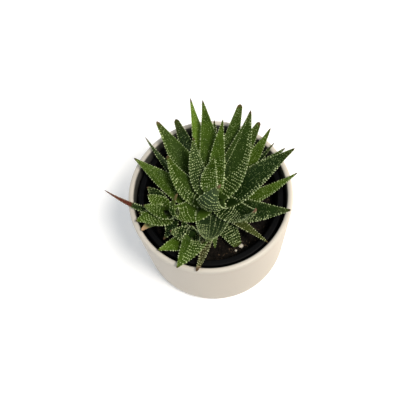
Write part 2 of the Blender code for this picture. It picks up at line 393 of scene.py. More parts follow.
def point_attribute(mesh, name, values):
    """Store a number or a direction on every point of a mesh."""
    values = np.asarray(values, np.float32)
    kind, field = ("FLOAT", "value") if values.ndim == 1 else ("FLOAT_VECTOR", "vector")
    layer = mesh.attributes.new(name, kind, "POINT")
    layer.data.foreach_set(field, values.ravel())


def hand_over(piece, node):
    """The piece stands for a node of the part: it hangs from the root and the node is
    hidden.
    """
    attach(piece, "root")
    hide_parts(node)


def arc(cx, cz, radius, start, end, steps):
    """Points on a round, angles in degrees."""
    angles = [math.radians(start + (end - start) * k / steps) for k in range(steps + 1)]
    return [(cx + radius * math.cos(a), cz + radius * math.sin(a)) for a in angles]


def run_between(start, end, steps):
    """Evenly spaced points after start, up to end."""
    shares = [k / steps for k in range(1, steps + 1)]
    return [(start[0] + (end[0] - start[0]) * share,
             start[1] + (end[1] - start[1]) * share) for share in shares]


def bridge(work, rings):
    """Faces from ring to ring; a ring of one point closes the surface."""
    for a, b in zip(rings, rings[1:]):
        sides = max(len(a), len(b))
        for k in range(sides):
            n = (k + 1) % sides
            if len(a) == 1:
                work.faces.new((a[0], b[k], b[n]))
            elif len(b) == 1:
                work.faces.new((a[k], a[n], b[0]))
            else:
                work.faces.new((a[k], a[n], b[n], b[k]))


def turned(name, profile, sides, finish, wobble=None):
    """Turn a closed profile (radius, height in mm) about the Z axis."""
    work = bmesh.new()
    rings = []
    for radius, height in profile:
        if radius < 1e-6:
            rings.append([work.verts.new((0, 0, height * MM))])
            continue
        ring = []
        for k in range(sides):
            angle = 2 * math.pi * k / sides
            r = radius
            if wobble:
                r += wobble(angle, radius, height)
            point = (r * math.cos(angle), r * math.sin(angle), height)
            ring.append(work.verts.new(Vector(point) * MM))
        rings.append(ring)
    bridge(work, rings)
    bmesh.ops.recalc_face_normals(work, faces=work.faces)
    return put_mesh(name, mesh_from(work, name), finish)


# ---- pots ----

def make_cover_pot():
    """Ceramic cover pot with a softly rounded rim and a foot ring."""
    inner = POT_RADIUS - POT_WALL
    foot = POT_FOOT_ROUND
    rim = POT_RIM_ROUND
    ring = 44.0
    profile = [(0, 1.2), (ring - 4, 1.2), (ring - 3, 0.9), (ring - 2.4, 0.2)]
    profile += [(ring - 1.6, 0), (POT_RADIUS - foot - 1.0, 0)]
    profile += arc(POT_RADIUS - foot, foot, foot, -90, 0, 12)
    wall = (POT_RADIUS, POT_HEIGHT - rim)
    profile += run_between(profile[-1], wall, 16)[:-1]
    profile += arc(POT_RADIUS - rim, POT_HEIGHT - rim, rim, 0, 90, 7)
    profile += arc(inner + rim, POT_HEIGHT - rim, rim, 90, 180, 7)
    low = (inner, POT_FLOOR + 5)
    profile += run_between(profile[-1], low, 12)[:-1]
    profile += arc(inner - 5, POT_FLOOR + 5, 5, 0, -90, 6)
    profile += [(24, POT_FLOOR), (0, POT_FLOOR)]

    def hand_thrown(angle, radius, height):
        """A fraction of a millimetre off true, as a thrown pot is."""
        slow = math.sin(2 * angle + 0.6) * 0.10
        slow += math.sin(3 * angle + height * 0.03) * 0.07
        return slow if radius > inner - 6 and height > 3 else 0.0

    pot = turned("cover_pot_ceramic", profile, 160, "ceramic", hand_thrown)
    hand_over(pot, "cover_pot")


def liner_outer_radius(height):
    """Outer radius of the nursery pot's tapered wall at a height, in mm."""
    share = (height - LINER_BASE) / (LINER_TOP - LINER_BASE)
    return LINER_FOOT_RADIUS + (LINER_NECK_RADIUS - LINER_FOOT_RADIUS) * share


def make_nursery_pot():
    """Moulded black pot: rolled lip, stepped neck, drain holes in the floor."""
    floor = LINER_BASE + LINER_WALL
    lip = LINER_LIP_RADIUS
    neck = LINER_NECK_RADIUS
    wall = LINER_WALL
    top = LINER_TOP
    profile = [(0, LINER_BASE), (12, LINER_BASE), (30, LINER_BASE)]
    profile += arc(LINER_FOOT_RADIUS - 1.5, LINER_BASE + 1.5, 1.5, -90, 0, 4)
    shoulder = (liner_outer_radius(top - 16), top - 16)
    profile += run_between(profile[-1], shoulder, 8)
    profile += [(neck - 0.2, top - 15), (neck - 0.2, top - 4.6)]
    profile += [(lip - 0.7, top - 4.6)]
    profile += arc(lip - 0.6, top - 4.0, 0.6, -70, 0, 3)
    profile += arc(lip - 1.0, top - 1.0, 1.0, 0, 90, 5)
    profile += [(neck + 0.6, top - 0.25)]
    profile += arc(neck + 0.3, top - 1.25, 1.0, 90, 180, 5)
    profile += [(neck - wall, top - 6), (neck - wall, top - 14)]
    profile += [(liner_outer_radius(top - 17) - wall, top - 16.5)]
    profile += run_between(profile[-1], (liner_outer_radius(floor) - wall, floor + 1), 8)
    profile += [(liner_outer_radius(floor) - wall - 1.2, floor), (20, floor), (0, floor)]
    pot = turned("nursery_pot_plastic", profile, 128, "black_plastic")
    cut = pot.modifiers.new("holes", "BOOLEAN")
    cut.operation = "DIFFERENCE"
    cut.solver = "EXACT"
    pins = drain_pins()
    cut.object = pins
    solid = settled(pot, "nursery_pot_moulded")
    bpy.data.objects.remove(pins)
    hand_over(solid, "nursery_pot")


def drain_pins():
    """Round pins that cut the drain holes."""
    work = bmesh.new()
    for k in range(4):
        angle = 2 * math.pi * (k + 0.5) / 4
        made = bmesh.ops.create_cone(work, cap_ends=True, segments=28,
                                     radius1=DRAIN_RADIUS * MM,
                                     radius2=DRAIN_RADIUS * MM, depth=4 * MM)
        middle = Vector((DRAIN_CIRCLE * math.cos(angle), DRAIN_CIRCLE * math.sin(angle),
                         LINER_BASE + LINER_WALL / 2)) * MM
        bmesh.ops.translate(work, verts=made["verts"], vec=middle)
    return placed("drain_pins", mesh_from(work, "drain_pins"))


def settled(obj, name):
    """Turn an object with modifiers into a plain mesh object and drop the old one."""
    bpy.context.view_layer.update()
    graph = bpy.context.evaluated_depsgraph_get()
    mesh = bpy.data.meshes.new_from_object(obj.evaluated_get(graph))
    bpy.data.objects.remove(obj)
    mesh.name = name
    mesh.polygons.foreach_set("use_smooth", [True] * len(mesh.polygons))
    return placed(name, mesh)


# ---- scattering and dotting trees ----

def tree_with(name, inputs):
    """A geometry tree with a mesh in, a mesh out and named inputs of given kinds."""
    tree = bpy.data.node_groups.new(name, "GeometryNodeTree")
    for label, kind in {"Mesh": "Geometry", **inputs}.items():
        tree.interface.new_socket(label, in_out="INPUT", socket_type="NodeSocket" + kind)
    tree.interface.new_socket("Mesh", in_out="OUTPUT", socket_type="NodeSocketGeometry")
    board = Board(tree, "Geometry")
    return board, board.add("NodeGroupInput")


def joined(board, parts):
    """Join several pieces of geometry."""
    whole = board.add("JoinGeometry")[0]
    for part in parts:
        board.tree.links.new(part.socket, whole.socket.node.inputs[0])
    return whole


def set_out(board, points, shape, turn, scale, finish, **choice):
    """A shape on every point, made real and given its finish."""
    inputs = {"Points": points, "Instance": shape, "Rotation": turn, "Scale": scale}
    inputs.update(choice)
    real = board.add("InstanceOnPoints", None, inputs)[0]
    real = board.add("RealizeInstances", None, {0: real})[0]
    return board.add("SetMaterial", None, {0: real, "Material": finish})[0]


def run_tree(obj, tree, inputs):
    """Put the tree on an object and set its inputs by their identifiers."""
    modifier = obj.modifiers.new(tree.name, "NODES")
    modifier.node_group = tree
    for item in tree.interface.items_tree:
        if item.in_out == "INPUT" and item.name in inputs:
            modifier[item.identifier] = inputs[item.name]


def dotting_tree():
    """Turns loose points on a leaf into raised warts and edge teeth."""
    board, entry = tree_with("warts and teeth", {
        "Wart height": "Float", "Tooth length": "Float", "Unevenness": "Float",
        "Seed": "Int", "Wart finish": "Material", "Tooth finish": "Material"})

    def noted(name, kind="FLOAT"):
        return board.add("InputNamedAttribute", {"data_type": kind}, {"Name": name})[0]

    kind = noted("kind")
    chance = board.add("FunctionNodeRandomValue", {"data_type": "FLOAT"}, {
        2: 1.0 - entry["Unevenness"], 3: 1.0 + entry["Unevenness"],
        "Seed": entry["Seed"]})[1]
    facing = board.add("FunctionNodeAxesToRotation",
                       {"primary_axis": "Z", "secondary_axis": "X"},
                       {0: noted("up", "FLOAT_VECTOR"),
                        1: noted("across", "FLOAT_VECTOR")})[0]
    loose = board.add("SeparateGeometry", {"domain": "POINT"},
                      {0: entry["Mesh"], 1: kind})
    points = board.add("MeshToPoints", None, {0: loose[0]})[0]
    sorted_points = board.add("SeparateGeometry", {"domain": "POINT"},
                              {0: points, 1: kind - 1.0})
    size = noted("reach") * chance
    length = size * noted("stretch")
    grown = []
    for which, segments, rings, height, finish in (
            (0, 5, 3, "Tooth length", "Tooth finish"),
            (1, 6, 4, "Wart height", "Wart finish")):
        ball = board.add("MeshUVSphere", None,
                         {"Segments": segments, "Rings": rings, "Radius": 1.0})[0]
        scale = board.add("CombineXYZ", None,
                          {0: length, 1: size, 2: size * entry[height]})[0]
        grown.append(set_out(board, sorted_points[which], ball, facing, scale,
                             entry[finish]))
    board.add("NodeGroupOutput", None, {"Mesh": joined(board, grown + [loose[1]])})
    return board.tree


def crumb_tree():
    """Scatters uneven crumbs over the parts of a mesh marked as bed."""
    board, entry = tree_with("scattered crumbs", {
        "Per square metre": "Float", "Smallest": "Float", "Largest": "Float",
        "Length": "Float", "Seed": "Int", "Finish": "Material"})
    bed = board.add("InputNamedAttribute", None, {"Name": "bed"})[0]
    spots = board.add("DistributePointsOnFaces", None, {
        "Mesh": entry["Mesh"], "Density": entry["Per square metre"] * bed,
        "Seed": entry["Seed"]})["Points"]
    place = board.add("InputPosition")[0]
    lumps = []
    for variant in range(4):
        ball = board.add("MeshIcoSphere", None, {"Radius": 1.0, "Subdivisions": 1})[0]
        moved = board.add("VectorMath", {"operation": "ADD"},
                          {0: place, 1: (variant * 7.3, variant * 3.1, 0.0)})[0]
        rough = board.add("TexNoise", None, {"Vector": moved, "Scale": 0.9})["Color"]
        shift = board.add("VectorMath", {"operation": "MULTIPLY_ADD"},
                          {0: rough, 1: (1.5, 1.5, 1.5), 2: (-0.75, -0.75, -0.75)})[0]
        lump = board.add("SetPosition", None, {0: ball, "Offset": shift})[0]
        lumps.append(board.add("GeometryToInstance", None, {0: lump})[0])

    def chance(kind, low, high, later, output):
        sockets = {"FLOAT_VECTOR": (0, 1), "FLOAT": (2, 3), "INT": (4, 5)}[kind]
        return board.add("FunctionNodeRandomValue", {"data_type": kind}, {
            sockets[0]: low, sockets[1]: high, "Seed": entry["Seed"] + later})[output]

    pick = chance("INT", 0, len(lumps) - 1, 5, 2)
    turn = chance("FLOAT_VECTOR", (0.0, 0.0, 0.0), (6.28, 6.28, 6.28), 9, 0)
    share = chance("FLOAT", 0.0, 1.0, 2, 1)
    size = entry["Smallest"] + (entry["Largest"] - entry["Smallest"]) * share * share
    scale = board.add("CombineXYZ", None, {
        0: size * entry["Length"], 1: size, 2: size * 0.8})[0]
    crumbs = set_out(board, spots, joined(board, lumps), turn, scale, entry["Finish"],
                     **{"Pick Instance": True, "Instance Index": pick})
    crumbs = board.add("RemoveAttribute", None, {0: crumbs, "Name": "bed"})[0]
    board.add("NodeGroupOutput", None, {"Mesh": joined(board, [crumbs, entry["Mesh"]])})
    return board.tree


# ---- soil ----

def soil_height(x, y):
    """Uneven surface of the potting soil, in mm."""
    dome = 1.6 * max(0.0, 1 - (x * x + y * y) / 2200.0)
    ripple = 0.5 * math.sin(x * 0.31 + 1.0) * math.cos(y * 0.27)
    return SOIL_LEVEL + dome + ripple


def clodded(x, y):
    """The same surface with clods and pits."""
    spot = Vector((x, y, 0.0))
    clods = noise.fractal(spot * 0.16, 0.8, 2.2, 4) * 1.5
    pits = noise.fractal(spot * 0.55 + Vector((9, 4, 2)), 0.7, 2.0, 3) * 0.6
    return soil_height(x, y) + clods + pits


def make_soil():
    """Bed of soil that fills the nursery pot, with crumbs and bark on top."""
    sides = 128
    floor = LINER_BASE + LINER_WALL + 0.35
    edge = liner_outer_radius(SOIL_LEVEL) - LINER_WALL - 0.3
    foot = liner_outer_radius(floor) - LINER_WALL - 0.5
    work = bmesh.new()
    rings = []
    radii = [foot, edge] + [edge * (1 - k / 46) ** 0.9 for k in range(1, 45)]
    for index, radius in enumerate(radii):
        ring = []
        for k in range(sides):
            angle = 2 * math.pi * k / sides
            x = radius * math.cos(angle)
            y = radius * math.sin(angle)
            z = floor if index == 0 else clodded(x, y)
            ring.append(work.verts.new(Vector((x, y, z)) * MM))
        rings.append(ring)
    bridge(work, rings)
    work.faces.new(list(reversed(rings[0])))
    top = work.verts.new(Vector((0, 0, clodded(0, 0))) * MM)
    bridge(work, [rings[-1], [top]])
    bmesh.ops.recalc_face_normals(work, faces=work.faces)
    mesh = mesh_from(work, "potting_soil")
    spots = np.empty(len(mesh.vertices) * 3)
    mesh.vertices.foreach_get("co", spots)
    point_attribute(mesh, "bed", spots[2::3] > (SOIL_LEVEL - 11.0) * MM)
    obj = put_mesh("soil_bed", mesh, "soil")
    tree = crumb_tree()
    for density, small, large, length, seed, finish in (
            (420000.0, 0.00035, 0.0012, 1.0, 11, "dark_crumb"),
            (60000.0, 0.0003, 0.0010, 1.4, 23, "bark_crumb"),
            (16000.0, 0.0003, 0.0007, 4.5, 31, "bark_crumb"),
            (9000.0, 0.0010, 0.0021, 1.2, 47, "dark_crumb")):
        run_tree(obj, tree, {
            "Per square metre": density, "Smallest": small, "Largest": large,
            "Length": length, "Seed": seed, "Finish": FINISHES[finish]})
    bed = settled(obj, "potting_soil_crumbs")
    hand_over(bed, "soil")


def make_grain(index, x, y, radius):
    """One grain of perlite, lumpy."""
    work = bmesh.new()
    bmesh.ops.create_icosphere(work, subdivisions=4, radius=radius)
    for vert in work.verts:
        lump = noise.fractal(vert.co * (2.2 / radius) + Vector((index * 5, 0, 0)),
                             0.9, 2.1, 3)
        vert.co *= 1 + 0.22 * lump
        vert.co.y *= 0.86
        vert.co.z *= 0.78
    place = Vector((x, y, soil_height(x, y) + radius * 0.80))
    for vert in work.verts:
        vert.co = (vert.co + place) * MM
    mesh = mesh_from(work, "perlite_%d" % index)
    grain = put_mesh("perlite_foam_%d" % index, mesh, "perlite")
    hand_over(grain, "perlite_grain_%d" % index)


def stem_radius(plant, height):
    """Radius of a plant's stem at a height, in mm."""
    x, y, top, low_radius, high_radius = STEMS[plant]
    bottom = soil_height(x, y)
    share = min(1.0, max(0.0, (height - bottom) / (top - bottom)))
    return low_radius + (high_radius - low_radius) * share


def make_stem(plant):
    """Stem with the scars of old leaves, ending down among the leaves' feet."""
    x, y, top, low_radius, high_radius = STEMS[plant]
    top -= 8.0
    bottom = soil_height(x, y) - 1.0
    profile = [(0, bottom), (low_radius * 0.9, bottom)]
    for k in range(1, 25):
        height = bottom + (top - bottom) * k / 25
        scar = 0.14 * math.sin(height * 2.6)
        profile.append((stem_radius(plant, height) + scar, height))
    profile += [(high_radius * 0.7, top - 0.5), (high_radius * 0.3, top), (0, top + 0.1)]
    stem = turned("stem_skin_" + plant, profile, 36, "stem_skin")
    stem.data.transform(Matrix.Translation(Vector((x, y, 0)) * MM))
    hand_over(stem, "stem_" + plant)


# ---- leaves ----

def banded(start):
    """Bands across the whole hollow face, from this share of the leaf to its tip."""
    return start, 1.0, -1.0, 1.0


# name, azimuth in degrees, foot height, tip point, width, thickness, bow (negative:
# the tip curves in), width at the tip as a share, how pale it is (partly the leaf's own
# tone, partly painted shade on leaves that sit in shadow), own habits.
MAIN_LEAVES = [
    # lowest ring of the main rosette
    ("low_back", 112, 80, (-19, 54.5, 112), 16, 4.5, -4, 0.2,
     0.12, dict(dried=0.992, ruddy=0.0)),
    ("low_back_dry", 131, 79, (-31, 43, 99), 6, 2.4, -3, 0.05, 0.0, {}),
    ("low_back_left", 146, 79, (-43, 46, 106), 8, 3.0, -3, 0.05, 0.22, dict(belly=-3)),
    ("low_left", 172, 81, (-52, 29, 108), 20, 4.8, -4, 0.04,
     0.55, dict(belly=-1, dots=1.6)),
    ("low_right_upper", 46, 80, (49.5, 41.5, 106), 16, 4.2, -1, 0.05,
     0.6, dict(belly=2.5, dots=1.4)),
    ("low_right_dark", 14, 79, (51.5, 32, 101), 8, 3.0, -2, 0.05, 0.12, {}),
    ("low_right", -16, 79.7, (63.5, 4.5, 104), 13, 4.2, -3, 0.04,
     0.62, dict(belly=3, dots=2.0, ridged=(0.2, 1.0, 0.45, 1.0))),
    ("low_right_front", -42, 84, (54.5, -23, 104), 22, 5.0, -2, 0.05,
     0.2, dict(belly=2.2, ridged=(0.12, 0.94, 0.5, 1.0))),
    ("low_front_right", -60, 82.5, (36, -43.5, 100), 8, 3.2, 0, 0.05,
     0.45, dict(dried=0.94, ruddy=0.2, tan=0.35, dots=0.6)),
    ("low_front_short", -83, 79, (15.5, -39.5, 86), 19, 3.8, 1, 0.3,
     0.22, dict(dried=1.1, ridged=banded(0.4))),
    ("low_front_pale", -106, 79, (-1, -39.5, 88), 9, 3.2, 1, 0.12,
     0.6, dict(dried=1.1, grey=0.6)),
    ("low_front", -130, 80, (-15.5, -58, 100), 10, 3.6, 1, 0.16,
     0.05, dict(dried=0.93, ruddy=0.1, belly=-2.8, tan=0.35,
          ridged=banded(0.45))),
    # second ring
    ("second_back", 100, 88, (-6.5, 63, 125), 14, 4.2, -4, 0.04, 0.84, dict(dots=1.6)),
    ("second_back_left", 128, 85, (-32.5, 51, 118), 21, 5.0, -4, 0.1,
     0.42, dict(ruddy=0.35, ridged=(0.2, 0.97, -1.0, -0.62))),
    ("second_back_right", 68, 90, (29, 56, 120), 16, 4.8, -4, 0.2,
     0.42, dict(ruddy=0.4, dots=1.6)),
    ("second_back_dark", 83, 82, (9, 49, 114), 13, 3.6, -3, 0.05, 0.12, {}),
    ("second_right_back", 48, 86.5, (42, 46.5, 108), 17, 4.8, -2, 0.17,
     0.45, dict(ruddy=0.4, dots=2.0)),
    ("second_right_low", 14, 84, (58, 25, 104), 15, 4.2, 0, 0.05, 0.3, dict(dots=2.0)),
    ("second_right", -3, 88.5, (63, 19, 114), 22, 5.5, -1, 0.04,
     0.18, dict(dots=1.4, ridged=(0.18, 0.8, 0.66, 1.0))),
    ("second_left", 165, 90, (-27, 23.5, 116), 18, 5.4, -5, 0.1,
     0.5, dict(belly=-4, ridged=(0.15, 1.0, -1.0, 0.05))),
    # third ring
    ("third_back", 92, 93, (2, 55.5, 132), 18, 4.6, -4, 0.04, 0.55, dict(belly=1.5)),
    ("third_right", 42, 94.5, (35, 46.5, 126), 22, 5.8, -5, 0.04,
     0.36, dict(belly=2.5, seams=(0.42,), ridged=(0.0, 0.97, 0.46, 1.0, -0.7))),
    ("third_front_right", -40, 90, (29, -24, 118), 19, 5.4, -9, 0.05,
     0.2, dict(dried=0.925, ruddy=0.45, belly=1.5,
          ridged=(0.0, 0.92, -0.1, 1.0, -0.9))),
    ("third_front_left", 205, 89, (-22, -7, 118), 18, 5.4, -12, 0.06,
     0.6, dict(dried=0.975, ruddy=0.5, belly=-4, hook=-5,
          ridged=(0.3, 1.0, -1.0, 0.75))),
    ("third_front", -100, 88, (-5, -39, 108), 25, 5.4, -7, 0.08,
     0.15, dict(dried=1.1, grey=0.35, faint=0.35, seams=(-0.8, -0.5, -0.2, 0.1),
          ridged=(0.35, 1.0, 0.25, 1.0))),
    # heart of the rosette
    ("heart_back", 72, 98.5, (14.5, 37.5, 134), 12.5, 4.6, -4, 0.03,
     0.58, dict(belly=-1, ridged=(0.0, 0.42, -0.9, 0.9))),
    ("heart_back_left", 140, 95, (-7, 29, 128), 14, 4.4, -4, 0.06,
     0.35, dict(belly=-2.5, grey=0.3, ridged=banded(0.1))),
    ("heart_middle", 120, 98, (5.5, 13.5, 125), 12, 4.4, -3, 0.04,
     0.54, dict(dried=1.1, belly=-1.5, ridged=(0.0, 0.66, -1.0, 1.0))),
    ("heart_front", -60, 96, (8, -5, 121), 21, 4.8, -9, 0.03,
     0.32, dict(dried=0.955, ruddy=0.4, faint=0.15, ridged=banded(0.1), lean=-115,
          belly=3.5, grey=0.5)),
]
LEFT_LEAVES = [
    ("left_long", 163, 86, (-74.5, 6.5, 108), 4.8, 2.0, 4, 0.06,
     0.25, dict(dried=0.55, ruddy=1.0, belly=-4)),
    ("left_back", 120, 88.5, (-44, 5, 107), 13, 3.4, -2, 0.05,
     0.1, dict(belly=2, dots=1.5)),
    ("left_upper", 20, 91, (-43, -2, 110), 12, 3.6, -3, 0.05,
     0.58, dict(faint=0.35, ridged=banded(0.05))),
    ("left_middle", 330, 92, (-47, -8, 107), 12, 3.2, -2, 0.05,
     0.5, dict(faint=0.4, ridged=banded(0.1))),
    ("left_pale", 186, 84, (-52, -11, 100), 10, 2.6, 0, 0.05,
     0.5, dict(faint=0.45, ridged=banded(0.2))),
    ("left_outer", 290, 89, (-54.5, -17, 101), 17, 3.4, 1, 0.05,
     0.54, dict(faint=0.45, ridged=(0.1, 0.9, -1.0, 0.7))),
    ("left_tan", 238, 82, (-51, -24, 100), 11, 3.0, 3, 0.14, 1.0, {}),
    ("left_front", 276, 86, (-37, -30, 92), 12, 3.4, 2, 0.05,
     0.1, dict(dried=0.95, belly=-5, dots=1.5)),
    ("left_right", 10, 86, (-24, -14, 104), 11, 3.4, -2, 0.05,
     0.3, dict(faint=0.35, ridged=banded(0.2))),
]
FRONT_LEAVES = [
    ("front_banded", 40, 90.5, (-30, -29, 106), 13, 4.0, -2, 0.08,
     0.2, dict(ridged=banded(0.1))),
    ("front_left", 202, 86, (-40.5, -40, 100), 13, 3.6, 2, 0.05, 0.66, dict(dots=1.2)),
    ("front_large", 30, 90, (-28.5, -54.5, 102), 18, 4.6, 2, 0.05,
     0.5, dict(belly=-2, faint=0.2, ridged=(0.05, 0.92, -1.0, 0.35))),
    ("front_back", 108, 84, (-22, -20, 99), 9, 3.0, -1, 0.05, 0.08, {}),
    ("front_heart", 80, 84, (-16, -26, 103), 9, 3.0, -1, 0.05, 0.1, dict(dots=1.5)),
]
LEAVES = {"main": MAIN_LEAVES, "left": LEFT_LEAVES, "front": FRONT_LEAVES}

# Young leaves that close the heart of each offset, carried by its stem.
BUDS = {
    "left": ("bud_left", 320, 88, (-46, -20, 100), 14, 3.0, -2, 0.05,
             0.45, dict(faint=0.35, ridged=banded(0.0))),
    "front": ("bud_front", 60, 86, (-11, -32, 98), 9, 2.8, -2, 0.05,
              0.15, dict(ridged=banded(0.0))),
}

# What a leaf does unless its row says otherwise. dried: where the tip dries out;
# ruddy, tan, grey: tints; dots: how many small dots; faint: how dull the bands are;
# ridged: the part of the hollow face with raised bands (from and to along the leaf,
# from and to across it, and where it starts across the foot); seams: where rows of
# teeth run down the hollow face; belly: sideways sweep in mm; hook: a bow near the
# tip; lean: which way the leaf leans, in degrees, if not towards its tip.
HABITS = dict(dried=0.985, ruddy=0.15, tan=0.0, grey=0.0, dots=1.0, faint=0.0,
              belly=0.0, ridged=None, seams=(), hook=0.0, lean=None)
DRY_LEAVES = {"low_back_dry": "dry_leaf", "left_tan": "dry_leaf"}

LEAF_CUP = 0.15     # depth of the hollow face as a share of the width
BAND_STEP = 2.0     # mm from band to band
WART_STEP = 1.7     # mm from wart to wart in a band
TOOTH_STEP = 1.8    # mm from tooth to tooth on an edge
SEAM_STEP = 1.4     # mm from tooth to tooth down a seam
DOTS_PER_MM2 = 0.26
LEAF_RINGS = 58
HOLLOW_POINTS = 15  # points round a ring on the hollow face
KEEL_POINTS = 17    # and on the keeled one


def eased(value, low, high):
    share = np.clip((value - low) / (high - low), 0.0, 1.0)
    return share * share * (3 - 2 * share)


class LeafShape:
    """Where every point of a leaf's two faces is."""

    def __init__(self, row, plant):
        (azimuth, foot_height, tip, self.width, self.thickness,
         self.bow, self.tip_width, light, own) = row[1:]
        self.habit = dict(HABITS, light=light, **own)
        x, y = STEMS[plant][:2]
        angle = math.radians(azimuth)
        away = stem_radius(plant, foot_height) * 0.55
        round_stem = np.array([math.cos(angle), math.sin(angle), 0.0])
        self.foot = np.array([x, y, foot_height - 1.0]) + round_stem * away
        self.chord = np.array(tip, float) - self.foot
        self.length = float(np.linalg.norm(self.chord))
        lean = np.array([self.chord[0], self.chord[1], 0.0])
        lean += round_stem * self.length * 0.15
        if self.habit["lean"] is not None:
            facing = math.radians(self.habit["lean"])
            lean = np.array([math.cos(facing), math.sin(facing), 0.0])
        side = np.cross(lean, (0.0, 0.0, 1.0))
        self.side = side / np.linalg.norm(side)
        hollow = np.cross(self.side, self.chord)
        self.hollow = hollow / np.linalg.norm(hollow)
        lead = round_stem + np.array([0.0, 0.0, 0.45])
        self.turn = lead * self.length * 0.16 - self.chord * 0.16

    def spine(self, share):
        share = np.asarray(share, float)[..., None]
        early = 4 * share * (1 - share) ** 3
        arch = 4 * share * (1 - share) * self.bow
        sway = 4 * share * (1 - share) * self.habit["belly"]
        curl = 9.5 * share ** 3 * (1 - share) * self.habit["hook"]
        return (self.foot + self.chord * share + self.hollow * (arch + curl)
                + self.side * sway + self.turn * early)

    def axes(self, share):
        """Along, across and up (towards the hollow face) at each share."""
        share = np.asarray(share, float)
        along = self.spine(share + 0.01) - self.spine(share - 0.01)
        along /= np.linalg.norm(along, axis=-1, keepdims=True)
        across = self.side - along * (along @ self.side)[..., None]
        across /= np.linalg.norm(across, axis=-1, keepdims=True)
        return along, across, np.cross(across, along)

    def wide(self, share):
        """Width: a clasping foot, widest at a fifth, then a long taper."""
        share = np.asarray(share, float)
        foot = 0.72 + 0.28 * np.sin(np.clip(share / 0.2, 0, 1) * math.pi / 2)
        reach = np.clip((share - 0.2) / 0.8, 0, 1)
        taper = 1 - reach ** 1.5
        taper *= 1 - 0.16 * eased(reach, 0.55, 0.95) * (self.tip_width < 0.15)
        blunt = np.sqrt(np.clip((1.0 - share) / 0.02, 0, 1))
        return self.width * foot * (self.tip_width + (1 - self.tip_width) * taper) * blunt

    def thick(self, share):
        share = np.asarray(share, float)
        slim = 1 - 0.80 * np.clip(share, 0, 1) ** 1.8
        blunt = np.sqrt(np.clip((1.0 - share) / 0.02, 0, 1))
        return self.thickness * slim * blunt

    def face(self, share, sideways, under):
        """A point of the leaf. sideways runs -1..1, under is 0 inside, 1 outside."""
        share = np.asarray(share, float)
        sideways = np.asarray(sideways, float)
        _, across, up = self.axes(share)
        half = self.wide(share) / 2
        cup = LEAF_CUP * self.wide(share) * (1 - 0.55 * share)
        inner = -cup * (1 - sideways ** 2)
        keel = (1 - np.abs(sideways) ** 1.7) ** 0.85
        outer = -cup * 0.3 * (1 - sideways ** 2) - self.thick(share) * keel - 0.25
        lift = np.where(under > 0.5, np.minimum(outer, inner - 0.15), inner)
        return (self.spine(share) + across * (sideways * half)[..., None]
                + up * lift[..., None])

    def facing(self, share, sideways, under):
        """Outward direction of a face at a point."""
        step = 0.012
        lengthwise = self.face(share + step, sideways, under) \
            - self.face(share - step, sideways, under)
        low = np.clip(sideways - 0.05, -1, 1)
        high = np.clip(sideways + 0.05, -1, 1)
        crosswise = self.face(share, high, under) - self.face(share, low, under)
        out = np.cross(crosswise, lengthwise)
        out /= np.linalg.norm(out, axis=-1, keepdims=True) + 1e-9
        return np.where(np.asarray(under)[..., None] > 0.5, -out, out)


def leaf_rings(shape):
    """Grid of points: rings from foot to tip, each going round both faces."""
    stations = 1 - (1 - np.linspace(0, 1, LEAF_RINGS)) ** 1.15
    stations = np.clip(stations, 0, 0.9985)
    inner = np.linspace(-1, 1, HOLLOW_POINTS)
    outer = np.linspace(0.96, -0.96, KEEL_POINTS)
    rings = []
    for share in stations:
        s_in = np.full(inner.shape, share)
        s_out = np.full(outer.shape, share)
        rings.append(np.concatenate([
            shape.face(s_in, inner, np.zeros(inner.shape)),
            shape.face(s_out, outer, np.ones(outer.shape))]))
    hollow = np.concatenate([np.ones(inner.size), np.zeros(outer.size)])
    # rim: how near the edge a point is; the skin gets a painted highlight there
    rim = np.concatenate([np.abs(inner) ** 14, np.abs(outer) ** 14 * 0.6])
    return stations, np.array(rings), hollow, rim


def band_points(shape, rng, under, part):
    """Warts in wavy bands across a part of one face."""
    rows = []
    start, end, low, high = part[:4]
    small = 0.80 + 0.20 * min(1.0, max(0.0, (shape.width - 12) / 6))
    first = 0.05 + 0.90 * start
    run = 0.90 * (end - start)
    count = int(shape.length * run / BAND_STEP)
    for band in range(count):
        centre = first + run * (band + 0.5 + rng.uniform(-0.12, 0.12)) / count
        left = spread(part, centre)
        girth = float(shape.wide(centre)) * (high - left) / 2 * (1.15 if under else 1.0)
        n = max(1, round(girth / WART_STEP))
        phase = rng.uniform(0, 6.28)
        slant = rng.uniform(-0.15, 0.15)
        for k in range(n):
            spot = left + (high - left) * (k + 0.5 + rng.uniform(-0.15, 0.15)) / n
            wave = 0.12 * math.sin(phase + k * 1.3) + slant * spot
            share = centre + (wave + rng.uniform(-0.08, 0.08)) * BAND_STEP / shape.length
            if rng.random() < 0.05:
                continue
            bright = rng.uniform(0.25, 1.0) * (1.0 - shape.habit["faint"])
            rows.append((share, spot * 0.93, under, rng.uniform(0.38, 0.52) * small,
                         rng.uniform(1.1, 1.6), bright))
    return rows


def spread(part, share):
    """Where a part of the face starts across the leaf: wider near the foot."""
    low = part[2]
    at_foot = part[4] if len(part) > 4 else low
    return low + (at_foot - low) * max(0.0, 1 - share / 0.45)


def dot_points(shape, rng):
    """Small pale dots scattered on the hollow face."""
    rows = []
    count = int(shape.length * shape.width * DOTS_PER_MM2 * shape.habit["dots"])
    for _ in range(count):
        share = 0.16 + 0.80 * rng.random() ** 0.85
        spot = rng.uniform(-0.88, 0.88)
        if rng.random() > float(shape.wide(share)) / shape.width + 0.1:
            continue
        rows.append((share, spot, 0.0, rng.uniform(0.15, 0.27),
                     rng.uniform(1.0, 1.5), rng.random() ** 2 * 0.5))
    return rows


